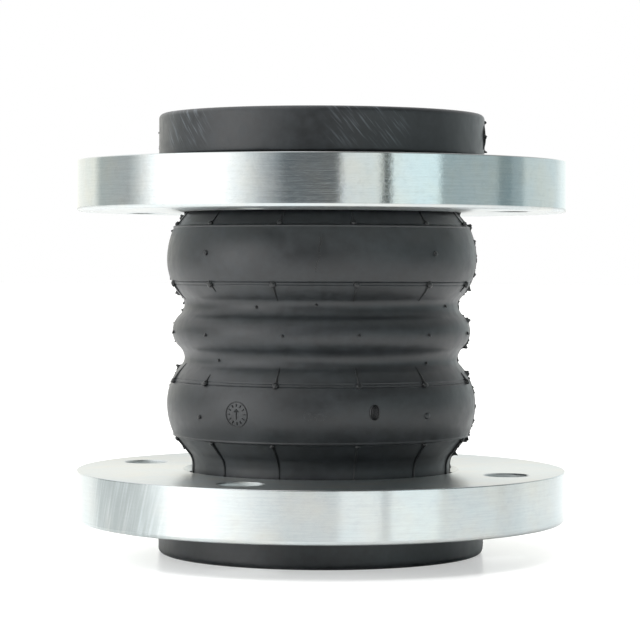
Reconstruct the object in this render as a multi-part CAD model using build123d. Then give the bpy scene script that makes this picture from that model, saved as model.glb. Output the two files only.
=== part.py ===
"""Twin-sphere rubber expansion joint, DN80, with two loose zinc-plated flanges.

Millimetres. +Z is the pipe axis and the origin is the centre of the lower sealing face.
The rubber is one moulding in reality. Each of its layers is cut into five sections here, so
that the sections can move as the joint bends and shortens.
"""

import math
import os

from build123d import *

# Sealing collars and neck
OVERALL_H = 178.8
BORE_R = 40.0
COLLAR_R = 66.5
COLLAR_T = 17.4
NECK_R = 53.0
FACE_EDGE_R = 2.0
BACK_EDGE_R = 1.0
NECK_ROOT_R = 3.0
MOUTH_R = 5.0

# Layers of the wall, from the bore outwards
LINER_T = 3.0
PLY_T = 1.5
PLY_NECK_R = BORE_R + LINER_T + 2 * PLY_T
RIM_T = 3.0
COLLAR_BACK_T = 4.0

# The two arches and the waist between them. Distances along the axis are from the middle of
# the arches. The outside of the cover has a rounded waist, a valley, a broad crest, a mould
# edge and a cone that runs into the neck.
ARCH_MID_Z = 90.5
WAIST_R = 60.8
VALLEY_AT = 11.0
VALLEY_R = 55.9
WAIST_ROOT_R = 6.0
VALLEY_ARC_R = 4.0
CREST_AT = 29.5
CREST_R = 63.2
CREST_ARC_R = 30.5
EDGE_AT = 42.8
CONE_DEG = 40.0
NECK_ARC_R = 8.5

# The outermost cord ply runs smoothly from waist to crest to neck, and the layers inside it
# are parallel to it.
PLY_WAIST_R = 50.0
PLY_WAIST_ARC_R = 38.0
PLY_CREST_R = 58.0
PLY_NECK_AT = 54.0

# Where the sections meet: the slide sections split in the valleys' outer flanks and the
# hinge sections on the crests' outer flanks.
SLIDE_SPLIT = 14.5
HINGE_SPLIT = 36.5

# Rings of steel wire inside the rubber
BEAD_WIRE_D = 6.5
BEAD_WIRE_R = 53.5
WAIST_RING_D = 7.0
WAIST_RING_R = 54.6

# Loose flanges
FLANGE_R = 100.0
FLANGE_T = 20.6
FLANGE_BORE_R = 54.5
RECESS_R = 67.5
RECESS_DEPTH = 4.0
BORE_CHAMFER = 2.0
RECESS_ROOT_CHAMFER = 2.5
RIM_CHAMFER = 0.8
BOLT_CIRCLE_R = 80.0
BOLT_HOLE_R = 9.0
BOLT_COUNT = 4
# The flanges are loose and can be turned to any angle; this is where their first hole stands
FIRST_HOLE = -22.5
LOWER_FLANGE_Z = COLLAR_T - RECESS_DEPTH
UPPER_FLANGE_Z = 138.95

SECTIONS = ["lower_end", "lower_arch", "waist", "upper_arch", "upper_end"]
FULL_TURN = 360.0


def at(radius, z):
    """A point on the half-plane that is turned about the axis."""
    return (radius, 0, z)


def height(end, h):
    """The Z of a height measured inwards from one end's sealing face."""
    return h if end == "lower" else OVERALL_H - h


def turned(face):
    """The body of revolution of a face in the half-plane."""
    return revolve(face, Axis.Z, FULL_TURN)


def arc_from_tip(tip_d, tip_r, arc_r, side, angles, up):
    """An arc whose tip is level with the axis. Its angles are measured from the tip."""
    points = []
    for angle in (angles[0], sum(angles) / 2, angles[1]):
        rise = arc_r * (1 - math.cos(angle)) * up
        points.append(at(tip_r + rise, ARCH_MID_Z + side * (tip_d + arc_r * math.sin(angle))))
    return ThreePointArc(*points)


def s_bend(low, high, low_arc_r, side):
    """Two arcs from a low point to a high point, level with the axis at both ends."""
    run = high[0] - low[0]
    rise = high[1] - low[1]
    both_r = (run**2 + rise**2) / (2 * rise)
    turn = math.asin(run / both_r)
    foot = arc_from_tip(low[0], low[1], low_arc_r, side, (0, turn), 1)
    head = arc_from_tip(high[0], high[1], both_r - low_arc_r, side, (-turn, 0), -1)
    return [foot, head]


def outer_half(side):
    """The outside of the cover from the waist to the neck, on one side of the middle."""
    waist = s_bend((VALLEY_AT, VALLEY_R), (0, WAIST_R), WAIST_ROOT_R, side)
    crest = s_bend((VALLEY_AT, VALLEY_R), (CREST_AT, CREST_R), VALLEY_ARC_R, side)
    edge_turn = math.asin((EDGE_AT - CREST_AT) / CREST_ARC_R)
    shoulder = arc_from_tip(CREST_AT, CREST_R, CREST_ARC_R, side, (0, edge_turn), -1)
    edge_r = CREST_R - CREST_ARC_R * (1 - math.cos(edge_turn))
    cone = math.radians(CONE_DEG)
    end_at = outer_neck_at()
    foot_at = end_at - NECK_ARC_R * math.sin(cone)
    foot_r = NECK_R + NECK_ARC_R * (1 - math.cos(cone))
    cone_line = Line(
        at(edge_r, ARCH_MID_Z + side * EDGE_AT),
        at(foot_r, ARCH_MID_Z + side * foot_at),
    )
    neck = arc_from_tip(end_at, NECK_R, NECK_ARC_R, side, (-cone, 0), 1)
    return waist + crest + [shoulder, cone_line, neck]


def outer_neck_at():
    """The distance from the middle at which the outside of the neck becomes straight."""
    edge_turn = math.asin((EDGE_AT - CREST_AT) / CREST_ARC_R)
    edge_r = CREST_R - CREST_ARC_R * (1 - math.cos(edge_turn))
    cone = math.radians(CONE_DEG)
    foot_r = NECK_R + NECK_ARC_R * (1 - math.cos(cone))
    return EDGE_AT + (edge_r - foot_r) / math.tan(cone) + NECK_ARC_R * math.sin(cone)


def ply_half(side, offset):
    """A surface parallel to the outermost ply, from the waist to the neck."""
    rise = PLY_CREST_R - PLY_WAIST_R
    both_r = (CREST_AT**2 + rise**2) / (2 * rise)
    crest_arc_r = both_r - PLY_WAIST_ARC_R
    run = PLY_NECK_AT - CREST_AT
    drop = PLY_CREST_R - PLY_NECK_R
    neck_arc_r = (run**2 + drop**2) / (2 * drop) - crest_arc_r
    inner_crest = (CREST_AT, PLY_CREST_R - offset)
    waist_arc_r = PLY_WAIST_ARC_R + offset
    waist = s_bend((0, PLY_WAIST_R - offset), inner_crest, waist_arc_r, side)
    turn = math.asin(run / (crest_arc_r + neck_arc_r))
    crest = arc_from_tip(CREST_AT, inner_crest[1], crest_arc_r - offset, side, (0, turn), -1)
    neck = arc_from_tip(
        PLY_NECK_AT, PLY_NECK_R - offset, neck_arc_r + offset, side, (-turn, 0), 1
    )
    return waist + [crest, neck]


def ply_curve(offset):
    """A surface parallel to the outermost ply over both arches."""
    return ply_half(-1, offset) + ply_half(1, offset)


def outer_curve():
    """The outside of the cover over both arches."""
    return outer_half(-1) + outer_half(1)


def corner_path(end, points):
    """Straight edges through points of (radius, height from this end's sealing face)."""
    return Polyline([at(radius, height(end, h)) for radius, h in points])


def neck_height(end, neck_at):
    """How far from this end's sealing face the straight part of a neck stops."""
    if end == "lower":
        return ARCH_MID_Z - neck_at
    return OVERALL_H - ARCH_MID_Z - neck_at


def mouth_path(end, offset):
    """The bore, the rounded mouth and the sealing face of a layer, offset from the bore."""
    arc_r = MOUTH_R - offset
    centre = MOUTH_R
    bore = Line(
        at(BORE_R + offset, height(end, neck_height(end, PLY_NECK_AT))),
        at(BORE_R + offset, height(end, centre)),
    )
    sag = arc_r * (1 - 0.5**0.5)
    mouth = ThreePointArc(
        at(BORE_R + offset, height(end, centre)),
        at(BORE_R + offset + sag, height(end, offset + sag)),
        at(BORE_R + centre, height(end, offset)),
    )
    rim_r = COLLAR_R - RIM_T
    seal = Line(at(BORE_R + centre, height(end, offset)), at(rim_r, height(end, offset)))
    return [bore, mouth, seal]


def ply_path(end, offset):
    """A cord ply's surface down the neck, along the sealing face and round the bead wire."""
    rim_r = COLLAR_R - RIM_T - (offset - LINER_T)
    return [
        corner_path(
            end,
            [
                (BORE_R + offset, neck_height(end, PLY_NECK_AT)),
                (BORE_R + offset, offset),
                (rim_r, offset),
                (rim_r, COLLAR_T - COLLAR_BACK_T),
            ],
        )
    ]


def collar_path(end):
    """The outside of the collar and neck, from the rim of the sealing face to the arch."""
    face_r = COLLAR_R - FACE_EDGE_R
    back_r = COLLAR_R - BACK_EDGE_R
    root_r = NECK_R + NECK_ROOT_R
    face_sag = FACE_EDGE_R * (1 - 0.5**0.5)
    back_sag = BACK_EDGE_R * (1 - 0.5**0.5)
    root_sag = NECK_ROOT_R * (1 - 0.5**0.5)
    return [
        Line(at(COLLAR_R - RIM_T, height(end, 0)), at(face_r, height(end, 0))),
        ThreePointArc(
            at(face_r, height(end, 0)),
            at(COLLAR_R - face_sag, height(end, face_sag)),
            at(COLLAR_R, height(end, FACE_EDGE_R)),
        ),
        Line(
            at(COLLAR_R, height(end, FACE_EDGE_R)),
            at(COLLAR_R, height(end, COLLAR_T - BACK_EDGE_R)),
        ),
        ThreePointArc(
            at(COLLAR_R, height(end, COLLAR_T - BACK_EDGE_R)),
            at(COLLAR_R - back_sag, height(end, COLLAR_T - back_sag)),
            at(back_r, height(end, COLLAR_T)),
        ),
        Line(at(back_r, height(end, COLLAR_T)), at(root_r, height(end, COLLAR_T))),
        ThreePointArc(
            at(root_r, height(end, COLLAR_T)),
            at(NECK_R + root_sag, height(end, COLLAR_T + root_sag)),
            at(NECK_R, height(end, COLLAR_T + NECK_ROOT_R)),
        ),
        Line(
            at(NECK_R, height(end, COLLAR_T + NECK_ROOT_R)),
            at(NECK_R, height(end, neck_height(end, outer_neck_at()))),
        ),
    ]


def inner_cover_path(end):
    """The cover's inside: down the neck, over the bead and down inside the rim."""
    neck = (PLY_NECK_R, neck_height(end, PLY_NECK_AT))
    bead_top = COLLAR_T - COLLAR_BACK_T
    rim_r = COLLAR_R - RIM_T
    return [corner_path(end, [neck, (PLY_NECK_R, bead_top), (rim_r, bead_top), (rim_r, 0)])]


def layer_face(curve_in, path_in, curve_out, path_out, closing):
    """The half-plane face of a layer between its inner and outer surfaces."""
    edges = curve_in + curve_out
    for end in ("lower", "upper"):
        edges += path_in(end) + path_out(end) + closing(end)
    return make_face(edges)


def liner_face():
    """The bore tube with its flared sealing faces."""
    rim_r = COLLAR_R - RIM_T
    return layer_face(
        ply_curve(LINER_T + 2 * PLY_T),
        lambda end: mouth_path(end, 0.0),
        ply_curve(2 * PLY_T),
        lambda end: mouth_path(end, LINER_T),
        lambda end: [corner_path(end, [(rim_r, 0), (rim_r, LINER_T)])],
    )


def inner_ply_face():
    """The cord ply next to the liner."""
    rim_r = COLLAR_R - RIM_T
    top = COLLAR_T - COLLAR_BACK_T
    wrap = [(rim_r, LINER_T), (rim_r, top), (rim_r - PLY_T, top)]
    return layer_face(
        ply_curve(2 * PLY_T),
        lambda end: mouth_path(end, LINER_T),
        ply_curve(PLY_T),
        lambda end: ply_path(end, LINER_T + PLY_T),
        lambda end: [corner_path(end, wrap)],
    )


def outer_ply_face():
    """The cord ply next to the cover."""
    outer_r = COLLAR_R - RIM_T - PLY_T
    top = COLLAR_T - COLLAR_BACK_T
    return layer_face(
        ply_curve(PLY_T),
        lambda end: ply_path(end, LINER_T + PLY_T),
        ply_curve(0.0),
        lambda end: ply_path(end, LINER_T + 2 * PLY_T),
        lambda end: [corner_path(end, [(outer_r, top), (outer_r - PLY_T, top)])],
    )


def cover_face():
    """The outer rubber, with the hollow that the waist ring fills."""
    solid = layer_face(
        ply_curve(0.0),
        inner_cover_path,
        outer_curve(),
        collar_path,
        lambda end: [],
    )
    return solid - wire_section(WAIST_RING_R, ARCH_MID_Z, WAIST_RING_D)


def wire_section(radius, z, diameter):
    """The round section of a wire ring in the half-plane."""
    return Plane.XZ * Pos(radius, z) * Circle(diameter / 2)


def filler_face(end):
    """The hard rubber round the bead wire, inside the turned-up plies."""
    inner_r = PLY_NECK_R
    outer_r = COLLAR_R - RIM_T - 2 * PLY_T
    low = LINER_T + 2 * PLY_T
    top = COLLAR_T - COLLAR_BACK_T
    outline = [(inner_r, low), (outer_r, low), (outer_r, top), (inner_r, top), (inner_r, low)]
    block = make_face([corner_path(end, outline)])
    return block - wire_section(BEAD_WIRE_R, bead_wire_z(end), BEAD_WIRE_D)


def bead_wire_z(end):
    """The Z of a bead wire's centre line."""
    low = LINER_T + 2 * PLY_T
    return height(end, (low + COLLAR_T - COLLAR_BACK_T) / 2)


def section_limits():
    """The lowest and highest Z of each of the five sections."""
    cuts = [
        0.0,
        ARCH_MID_Z - HINGE_SPLIT,
        ARCH_MID_Z - SLIDE_SPLIT,
        ARCH_MID_Z + SLIDE_SPLIT,
        ARCH_MID_Z + HINGE_SPLIT,
        OVERALL_H,
    ]
    return dict(zip(SECTIONS, zip(cuts[:-1], cuts[1:])))


def section_of(face, low, high):
    """One section of a layer, as a body of revolution."""
    slab = Plane.XZ * Pos(COLLAR_R / 2, (low + high) / 2) * Rectangle(2 * COLLAR_R, high - low)
    return turned(face & slab)


def flange(first_hole):
    """A loose flange with its recess downwards and its lower face at Z 0."""
    outline = [
        (RECESS_R, 0),
        (FLANGE_R - RIM_CHAMFER, 0),
        (FLANGE_R, RIM_CHAMFER),
        (FLANGE_R, FLANGE_T - RIM_CHAMFER),
        (FLANGE_R - RIM_CHAMFER, FLANGE_T),
        (FLANGE_BORE_R + BORE_CHAMFER, FLANGE_T),
        (FLANGE_BORE_R, FLANGE_T - BORE_CHAMFER),
        (FLANGE_BORE_R, RECESS_DEPTH + RECESS_ROOT_CHAMFER),
        (FLANGE_BORE_R + RECESS_ROOT_CHAMFER, RECESS_DEPTH),
        (RECESS_R, RECESS_DEPTH),
        (RECESS_R, 0),
    ]
    body = turned(make_face([Polyline([at(radius, z) for radius, z in outline])]))
    hole = Pos(0, 0, FLANGE_T / 2) * Cylinder(BOLT_HOLE_R, 2 * FLANGE_T)
    for place in PolarLocations(BOLT_CIRCLE_R, BOLT_COUNT, first_hole):
        body -= place * hole
    return body


def parts():
    """Every node of the assembly, by name."""
    made = {
        "lower_flange": Pos(0, 0, LOWER_FLANGE_Z) * flange(FIRST_HOLE),
        "upper_flange": Pos(0, 0, UPPER_FLANGE_Z + FLANGE_T) * Rot(180, 0, 0) * flange(-FIRST_HOLE),
        "waist_ring": turned(wire_section(WAIST_RING_R, ARCH_MID_Z, WAIST_RING_D)),
    }
    for end in ("lower", "upper"):
        wire = wire_section(BEAD_WIRE_R, bead_wire_z(end), BEAD_WIRE_D)
        made[end + "_bead_wire"] = turned(wire)
        made[end + "_bead_filler"] = turned(filler_face(end))
    layers = {
        "liner": liner_face(),
        "inner_ply": inner_ply_face(),
        "outer_ply": outer_ply_face(),
        "cover": cover_face(),
    }
    for layer, face in layers.items():
        for section, (low, high) in section_limits().items():
            made[layer + "_" + section] = section_of(face, low, high)
    return made


def main():
    """Writes one STEP file per node."""
    os.makedirs("parts", exist_ok=True)
    for name, shape in parts().items():
        export_step(shape, "parts/" + name + ".step")


main()
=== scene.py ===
"""Twin-sphere rubber expansion joint with loose zinc-plated flanges, built over its CAD frame."""

import math

import bpy
import numpy as np
from mathutils import Matrix, Vector


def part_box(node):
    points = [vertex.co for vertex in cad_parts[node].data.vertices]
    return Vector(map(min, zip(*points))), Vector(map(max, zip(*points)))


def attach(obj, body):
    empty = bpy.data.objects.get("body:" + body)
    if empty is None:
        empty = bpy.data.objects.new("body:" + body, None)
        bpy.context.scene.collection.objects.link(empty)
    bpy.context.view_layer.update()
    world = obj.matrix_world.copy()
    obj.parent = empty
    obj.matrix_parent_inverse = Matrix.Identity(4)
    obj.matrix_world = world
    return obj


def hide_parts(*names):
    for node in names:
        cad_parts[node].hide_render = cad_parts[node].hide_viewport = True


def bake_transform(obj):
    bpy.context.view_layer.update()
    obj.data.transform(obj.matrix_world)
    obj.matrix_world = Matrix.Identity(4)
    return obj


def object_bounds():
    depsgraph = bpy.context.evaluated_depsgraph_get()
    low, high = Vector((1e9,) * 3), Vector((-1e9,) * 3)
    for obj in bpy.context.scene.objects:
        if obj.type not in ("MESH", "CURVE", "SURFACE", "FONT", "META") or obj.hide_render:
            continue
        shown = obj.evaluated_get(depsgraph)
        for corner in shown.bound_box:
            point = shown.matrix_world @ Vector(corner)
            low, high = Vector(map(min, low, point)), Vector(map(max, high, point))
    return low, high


bl_info = {
    "name": "Rubber expansion joint",
    "version": (1, 0, 0),
    "blender": (4, 5, 0),
    "location": "View3D > Sidebar > Expansion joint",
    "description": "Builds a moulded rubber bellows, its mould marks, its flanges and a studio",
    "category": "Object",
}

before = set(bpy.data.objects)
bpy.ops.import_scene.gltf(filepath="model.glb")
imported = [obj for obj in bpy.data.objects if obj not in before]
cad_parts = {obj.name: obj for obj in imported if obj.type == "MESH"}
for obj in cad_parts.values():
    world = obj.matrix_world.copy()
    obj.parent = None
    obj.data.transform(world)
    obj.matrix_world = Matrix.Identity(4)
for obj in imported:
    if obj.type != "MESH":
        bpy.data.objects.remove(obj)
CAD_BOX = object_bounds()

MM = 0.001
SIDE = {"lower": -1, "upper": 1}
ENDS = tuple(SIDE)


def box_mm(node):
    """Lowest and highest corner of a CAD node in millimetres."""
    low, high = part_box(node)
    return [c / MM for c in low], [c / MM for c in high]


# Sizes in millimetres that come from the CAD frame
OVERALL = CAD_BOX[1][2] / MM
ARCH_MID = sum(corner[2] for corner in box_mm("waist_ring")) / 2
COLLAR_R = box_mm("cover_lower_end")[1][0]
WAIST_R = box_mm("cover_waist")[1][0]
CREST_R = box_mm("cover_lower_arch")[1][0]
FLANGE_R = box_mm("lower_flange")[1][0]
FLANGE_LOW = {end: box_mm(end + "_flange")[0][2] for end in ENDS}
FLANGE_HIGH = {end: box_mm(end + "_flange")[1][2] for end in ENDS}
BEAD_TOP = box_mm("lower_bead_filler")[1][2]
FILLER_LOW = box_mm("lower_bead_filler")[0][2]

# Sizes in millimetres of the moulding, as in the CAD
BORE_R = 40.0
NECK_R = 53.0
COLLAR_T = 17.4
FACE_EDGE_R = 2.0
BACK_EDGE_R = 1.0
NECK_ROOT_R = 3.0
MOUTH_R = 5.0
LINER_T = 3.0
PLY_T = 1.5
RIM_T = 3.0
VALLEY_AT = 11.0
VALLEY_R = 55.9
WAIST_ROOT_R = 6.0
VALLEY_ARC_R = 4.0
CREST_AT = 29.5
CREST_ARC_R = 30.5
EDGE_AT = 42.8
CONE = math.radians(40.0)
NECK_ARC_R = 8.5
PLY_WAIST_R = 50.0
PLY_WAIST_ARC_R = 38.0
PLY_CREST_R = 58.0
PLY_NECK_AT = 54.0
PLY_NECK_R = BORE_R + LINER_T + 2 * PLY_T
RIM_R = COLLAR_R - RIM_T

# Where the arch sections end and the end sections start, from the middle of the arches; on the
# real joint the arches take the bending and squeezing
SQUEEZE_TO = 25.5

# Loose flanges
FLANGE_BORE_R = 54.5
RECESS_R = 67.5
RECESS_DEPTH = 4.0
BORE_CHAMFER = 2.0
RECESS_ROOT = 2.5
BOLT_CIRCLE_R = 80.0
BOLT_HOLE_R = 9.0
BOLT_COUNT = 4
FIRST_HOLE = math.radians(-22.5)
# A row this far from a rounded edge keeps the flat beside it flat
HOLD = 0.1

# Marks that the mould leaves. Heights are from the middle of the arches, and angles are in
# degrees from the front (-Y) towards +X
LINE_AT = 19.7
LINE_GAP = 0.6
LINE_DEPTHS = (0.32, 0.2)
STEP_AT = EDGE_AT
STEP_DROP = 0.35
STEP_RIDGE = 0.45
RIB_PITCH = 30.0
RIB_FIRST = -77.0
PARTING_AT = 85.0
FLASH_TO = 66.0
# How deep the foot of a raised mark is sunk into the cover
SINK = 0.35

# Places of single marks, as an angle and a height above the lower sealing face
DIAL_AT = (-31.4, 59.3)
DIAL_R = 4.9
PLUG_AT = (19.2, 60.6)


def linear(code):
    """An sRGB hex colour as linear RGBA."""
    parts = [int(code[i:i + 2], 16) / 255 for i in (1, 3, 5)]
    return [c / 12.92 if c <= 0.04045 else ((c + 0.055) / 1.055) ** 2.4 for c in parts] + [1.0]


# ---------------------------------------------------------------- the moulded profile

def s_bend(d, low, high, foot_r):
    """Radius at distance d on two arcs from a low point to a high point."""
    run = high[0] - low[0]
    rise = high[1] - low[1]
    both_r = (run ** 2 + rise ** 2) / (2 * rise)
    head_r = both_r - foot_r
    join = low[0] + foot_r * run / both_r
    on_foot = low[1] + foot_r - np.sqrt(np.maximum(foot_r ** 2 - (d - low[0]) ** 2, 0))
    on_head = high[1] - head_r + np.sqrt(np.maximum(head_r ** 2 - (d - high[0]) ** 2, 0))
    return np.where((d - join) * run < 0, on_foot, on_head)


def cover_radius(d):
    """Radius of the cover's outside at a distance from the middle of the arches."""
    d = np.abs(np.asarray(d, float))
    edge_turn = math.asin((EDGE_AT - CREST_AT) / CREST_ARC_R)
    edge_r = CREST_R - CREST_ARC_R * (1 - math.cos(edge_turn))
    foot_r = NECK_R + NECK_ARC_R * (1 - math.cos(CONE))
    foot_at = EDGE_AT + (edge_r - foot_r) / math.tan(CONE)
    neck_at = foot_at + NECK_ARC_R * math.sin(CONE)
    shoulder = np.sqrt(np.maximum(CREST_ARC_R ** 2 - (d - CREST_AT) ** 2, 0))
    shoulder += CREST_R - CREST_ARC_R
    cone = edge_r - (d - EDGE_AT) * math.tan(CONE)
    neck = NECK_R + NECK_ARC_R - np.sqrt(np.maximum(NECK_ARC_R ** 2 - (d - neck_at) ** 2, 0))
    return np.select(
        [d < VALLEY_AT, d < CREST_AT, d < EDGE_AT, d < foot_at, d < neck_at],
        [
            s_bend(d, (VALLEY_AT, VALLEY_R), (0, WAIST_R), WAIST_ROOT_R),
            s_bend(d, (VALLEY_AT, VALLEY_R), (CREST_AT, CREST_R), VALLEY_ARC_R),
            shoulder,
            cone,
            neck,
        ],
        NECK_R,
    )


def ply_radius(d, offset):
    """Radius of the surface that lies an offset inside the outermost ply."""
    d = np.abs(np.asarray(d, float))
    rise = PLY_CREST_R - PLY_WAIST_R
    crest_arc_r = (CREST_AT ** 2 + rise ** 2) / (2 * rise) - PLY_WAIST_ARC_R
    run = PLY_NECK_AT - CREST_AT
    drop = PLY_CREST_R - PLY_NECK_R
    neck_arc_r = (run ** 2 + drop ** 2) / (2 * drop) - crest_arc_r
    crest = (CREST_AT, PLY_CREST_R - offset)
    waist = s_bend(d, (0, PLY_WAIST_R - offset), crest, PLY_WAIST_ARC_R + offset)
    neck = s_bend(d, (PLY_NECK_AT, PLY_NECK_R - offset), crest, neck_arc_r + offset)
    return np.select([d < CREST_AT, d < PLY_NECK_AT], [waist, neck], PLY_NECK_R - offset)


def mould_relief(d):
    """Height of the mould's rings on the cover: a double groove and a stepped edge."""
    d = np.abs(d)
    relief = np.zeros_like(d)
    for side, depth in zip((-1, 1), LINE_DEPTHS):
        relief -= depth * np.exp(-(((d - LINE_AT + side * LINE_GAP) / 0.2) ** 2))
    relief += STEP_RIDGE * np.exp(-(((d - STEP_AT + 0.35) / 0.36) ** 2))
    runs_out = np.clip((PLY_NECK_AT - d) / 9.0, 0, 1)
    relief -= STEP_DROP / (1 + np.exp(-(d - STEP_AT) / 0.07)) * runs_out
    return relief


def unevenness(angle, z):
    """Small slow waves that a hand-built and pressed body has."""
    waves = 0.10 * np.sin(2 * angle + z / 23) + 0.07 * np.sin(3 * angle - z / 11 + 1.3)
    waves += 0.05 * np.sin(5 * angle + z / 7 + 0.4) + 0.03 * np.sin(9 * angle - z / 5)
    return waves * np.clip((np.minimum(z, OVERALL - z) - 24) / 12, 0, 1)


def end_height(end, d):
    """Height above this end's sealing face of a distance from the middle of the arches."""
    return (ARCH_MID if end == "lower" else OVERALL - ARCH_MID) - d


def true_z(end, h):
    """Z of a height above this end's sealing face."""
    return h if end == "lower" else OVERALL - h


def quarter(centre, radius, start, stop, steps=5):
    """Points on an arc about a centre of (radius, height), angles in degrees."""
    turns = np.radians(np.linspace(start, stop, steps))
    return [(centre[0] + radius * math.cos(t), centre[1] + radius * math.sin(t)) for t in turns]


def mouth(offset):
    """The bore's rounded mouth, offset into the liner."""
    return quarter((BORE_R + MOUTH_R, MOUTH_R), MOUTH_R - offset, 180, 270, 8)


def sealing_grooves():
    """The sealing face outwards from the mouth, with its three fine grooves."""
    points = []
    for radius in (49.0, 53.5, 58.0):
        for across, depth in ((-0.7, 0), (-0.45, 0.35), (0, 0.5), (0.45, 0.35), (0.7, 0)):
            points.append((radius + across, depth))
    return points + [(RIM_R, 0)]


def end_paths(layer):
    """A layer's outside and inside beyond the arches, each from the neck to its end."""
    ply_rim = RIM_R - PLY_T
    inner_rim = RIM_R - 2 * PLY_T
    low = LINER_T + PLY_T
    on_mouth = mouth(LINER_T)
    if layer == "liner":
        return on_mouth + [(RIM_R, LINER_T)], mouth(0.0) + sealing_grooves()
    if layer == "inner_ply":
        outside = [(BORE_R + low, low), (ply_rim, low), (ply_rim, BEAD_TOP)]
        return outside, on_mouth + [(RIM_R, LINER_T), (RIM_R, BEAD_TOP)]
    if layer == "outer_ply":
        outside = [(PLY_NECK_R, FILLER_LOW), (inner_rim, FILLER_LOW), (inner_rim, BEAD_TOP)]
        return outside, [(BORE_R + low, low), (ply_rim, low), (ply_rim, BEAD_TOP)]
    root = quarter((NECK_R + NECK_ROOT_R, COLLAR_T + NECK_ROOT_R), NECK_ROOT_R, 180, 270)
    back = quarter((COLLAR_R - BACK_EDGE_R, COLLAR_T - BACK_EDGE_R), BACK_EDGE_R, 90, 0)
    face = quarter((COLLAR_R - FACE_EDGE_R, FACE_EDGE_R), FACE_EDGE_R, 0, -90, 7)
    side = [(COLLAR_R, h) for h in np.linspace(COLLAR_T - BACK_EDGE_R, FACE_EDGE_R, 14)[1:-1]]
    inside = [(PLY_NECK_R, BEAD_TOP), (RIM_R, BEAD_TOP), (RIM_R, 0)]
    return root + back + side + face, inside


LAYER_OFFSETS = {
    "cover": (None, 0.0),
    "outer_ply": (0.0, PLY_T),
    "inner_ply": (PLY_T, 2 * PLY_T),
    "liner": (2 * PLY_T, 2 * PLY_T + LINER_T),
}


def layer_surface(d, offset):
    """Radius of one surface of a layer: the cover's outside has no ply offset."""
    if offset is None:
        return cover_radius(d) + mould_relief(d)
    return ply_radius(d, offset)


def stations(start, stop, step, fine):
    """Distances along the arches, close together at seams and, if fine, at mould rings."""
    marks = [np.arange(start, stop, step), [stop, start + 0.1, stop - 0.1]]
    if fine:
        for line in (LINE_AT - LINE_GAP, LINE_AT + LINE_GAP):
            marks.append(np.arange(line - 0.5, line + 0.5, 0.1))
        marks.append(np.arange(STEP_AT - 1.0, STEP_AT + 0.5, 0.08))
    all_marks = np.unique(np.round(np.concatenate(marks), 3))
    return all_marks[(all_marks >= start) & (all_marks <= stop)]


def section_outline(layer, end, part):
    """The closed outline, in radius and Z, of one section of a layer."""
    outer_offset, inner_offset = LAYER_OFFSETS[layer]
    fine = layer == "cover"
    step = {"cover": 0.5, "liner": 1.0}.get(layer, 2.0)
    start, outer_stop, inner_stop = 0.0, SQUEEZE_TO, SQUEEZE_TO
    outer_end, inner_end = [], []
    if part == "end":
        start, outer_stop, inner_stop = SQUEEZE_TO, PLY_NECK_AT, PLY_NECK_AT
        outer_end, inner_end = end_paths(layer)
        if fine:
            outer_stop = end_height(end, outer_end.pop(0)[1])
    outer = stations(start, outer_stop, step, fine)
    inner = stations(start, inner_stop, max(step, 1.0), False)
    outside = [(layer_surface(d, outer_offset), end_height(end, d)) for d in outer] + outer_end
    inside = [(layer_surface(d, inner_offset), end_height(end, d)) for d in inner] + inner_end
    points = outside + inside[::-1]
    return [(float(r), true_z(end, float(h))) for r, h in points], len(outside)


# ---------------------------------------------------------------- mesh helpers

def make_mesh(name, vertices, faces):
    """A mesh object from points in millimetres, with its rest place kept for textures."""
    mesh = bpy.data.meshes.new(name)
    points = np.asarray(vertices, float) * MM
    mesh.from_pydata(points.tolist(), [], faces)
    rest = mesh.attributes.new("rest_place", "FLOAT_VECTOR", "POINT")
    rest.data.foreach_set("vector", points.astype(np.float32).ravel())
    mesh.validate()
    made = bpy.data.objects.new(name, mesh)
    bpy.context.scene.collection.objects.link(made)
    return made


def shade(made, sharp_deg):
    """Smooth shading, with edges sharper than an angle kept crisp."""
    made.data.shade_smooth()
    made.data.set_sharp_from_angle(angle=math.radians(sharp_deg))


def stack_faces(rings, steps, closed=False):
    """Faces of a stack of rings of points, joined end to end if closed and capped if not."""
    faces = []
    for i in range(rings if closed else rings - 1):
        a, b = i * steps, (i + 1) % rings * steps
        for k in range(steps):
            m = (k + 1) % steps
            faces.append([a + k, a + m, b + m, b + k])
    if not closed:
        faces.append(list(range(steps))[::-1])
        faces.append([(rings - 1) * steps + k for k in range(steps)])
    return faces


def turned_ring(name, outline, columns, skin=0):
    """A closed ring turned from an outline. The first skin points get the unevenness."""
    outline = np.asarray(outline, float)
    count = len(outline)
    angles = np.arange(columns) * 2 * math.pi / columns
    radius = np.repeat(outline[None, :, 0], columns, 0)
    height = np.repeat(outline[None, :, 1], columns, 0)
    if skin:
        radius[:, :skin] += unevenness(angles[:, None], height[:, :skin])
    x = radius * np.sin(angles)[:, None]
    y = -radius * np.cos(angles)[:, None]
    vertices = np.stack([x, y, height], -1).reshape(-1, 3)
    a = np.arange(columns)[:, None] * count + np.arange(count)[None, :]
    b = np.roll(a, -1, 1)
    c = np.roll(b, -1, 0)
    d = np.roll(a, -1, 0)
    faces = np.stack([a, b, c, d], -1).reshape(-1, 4)
    area = np.sum(outline[:, 0] * np.roll(outline[:, 1], -1))
    area -= np.sum(np.roll(outline[:, 0], -1) * outline[:, 1])
    if area > 0:
        faces = faces[:, ::-1]
    return make_mesh(name, vertices, faces.tolist())


def settle_section(made):
    """Bakes a section's placement into its mesh."""
    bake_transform(made)


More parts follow.
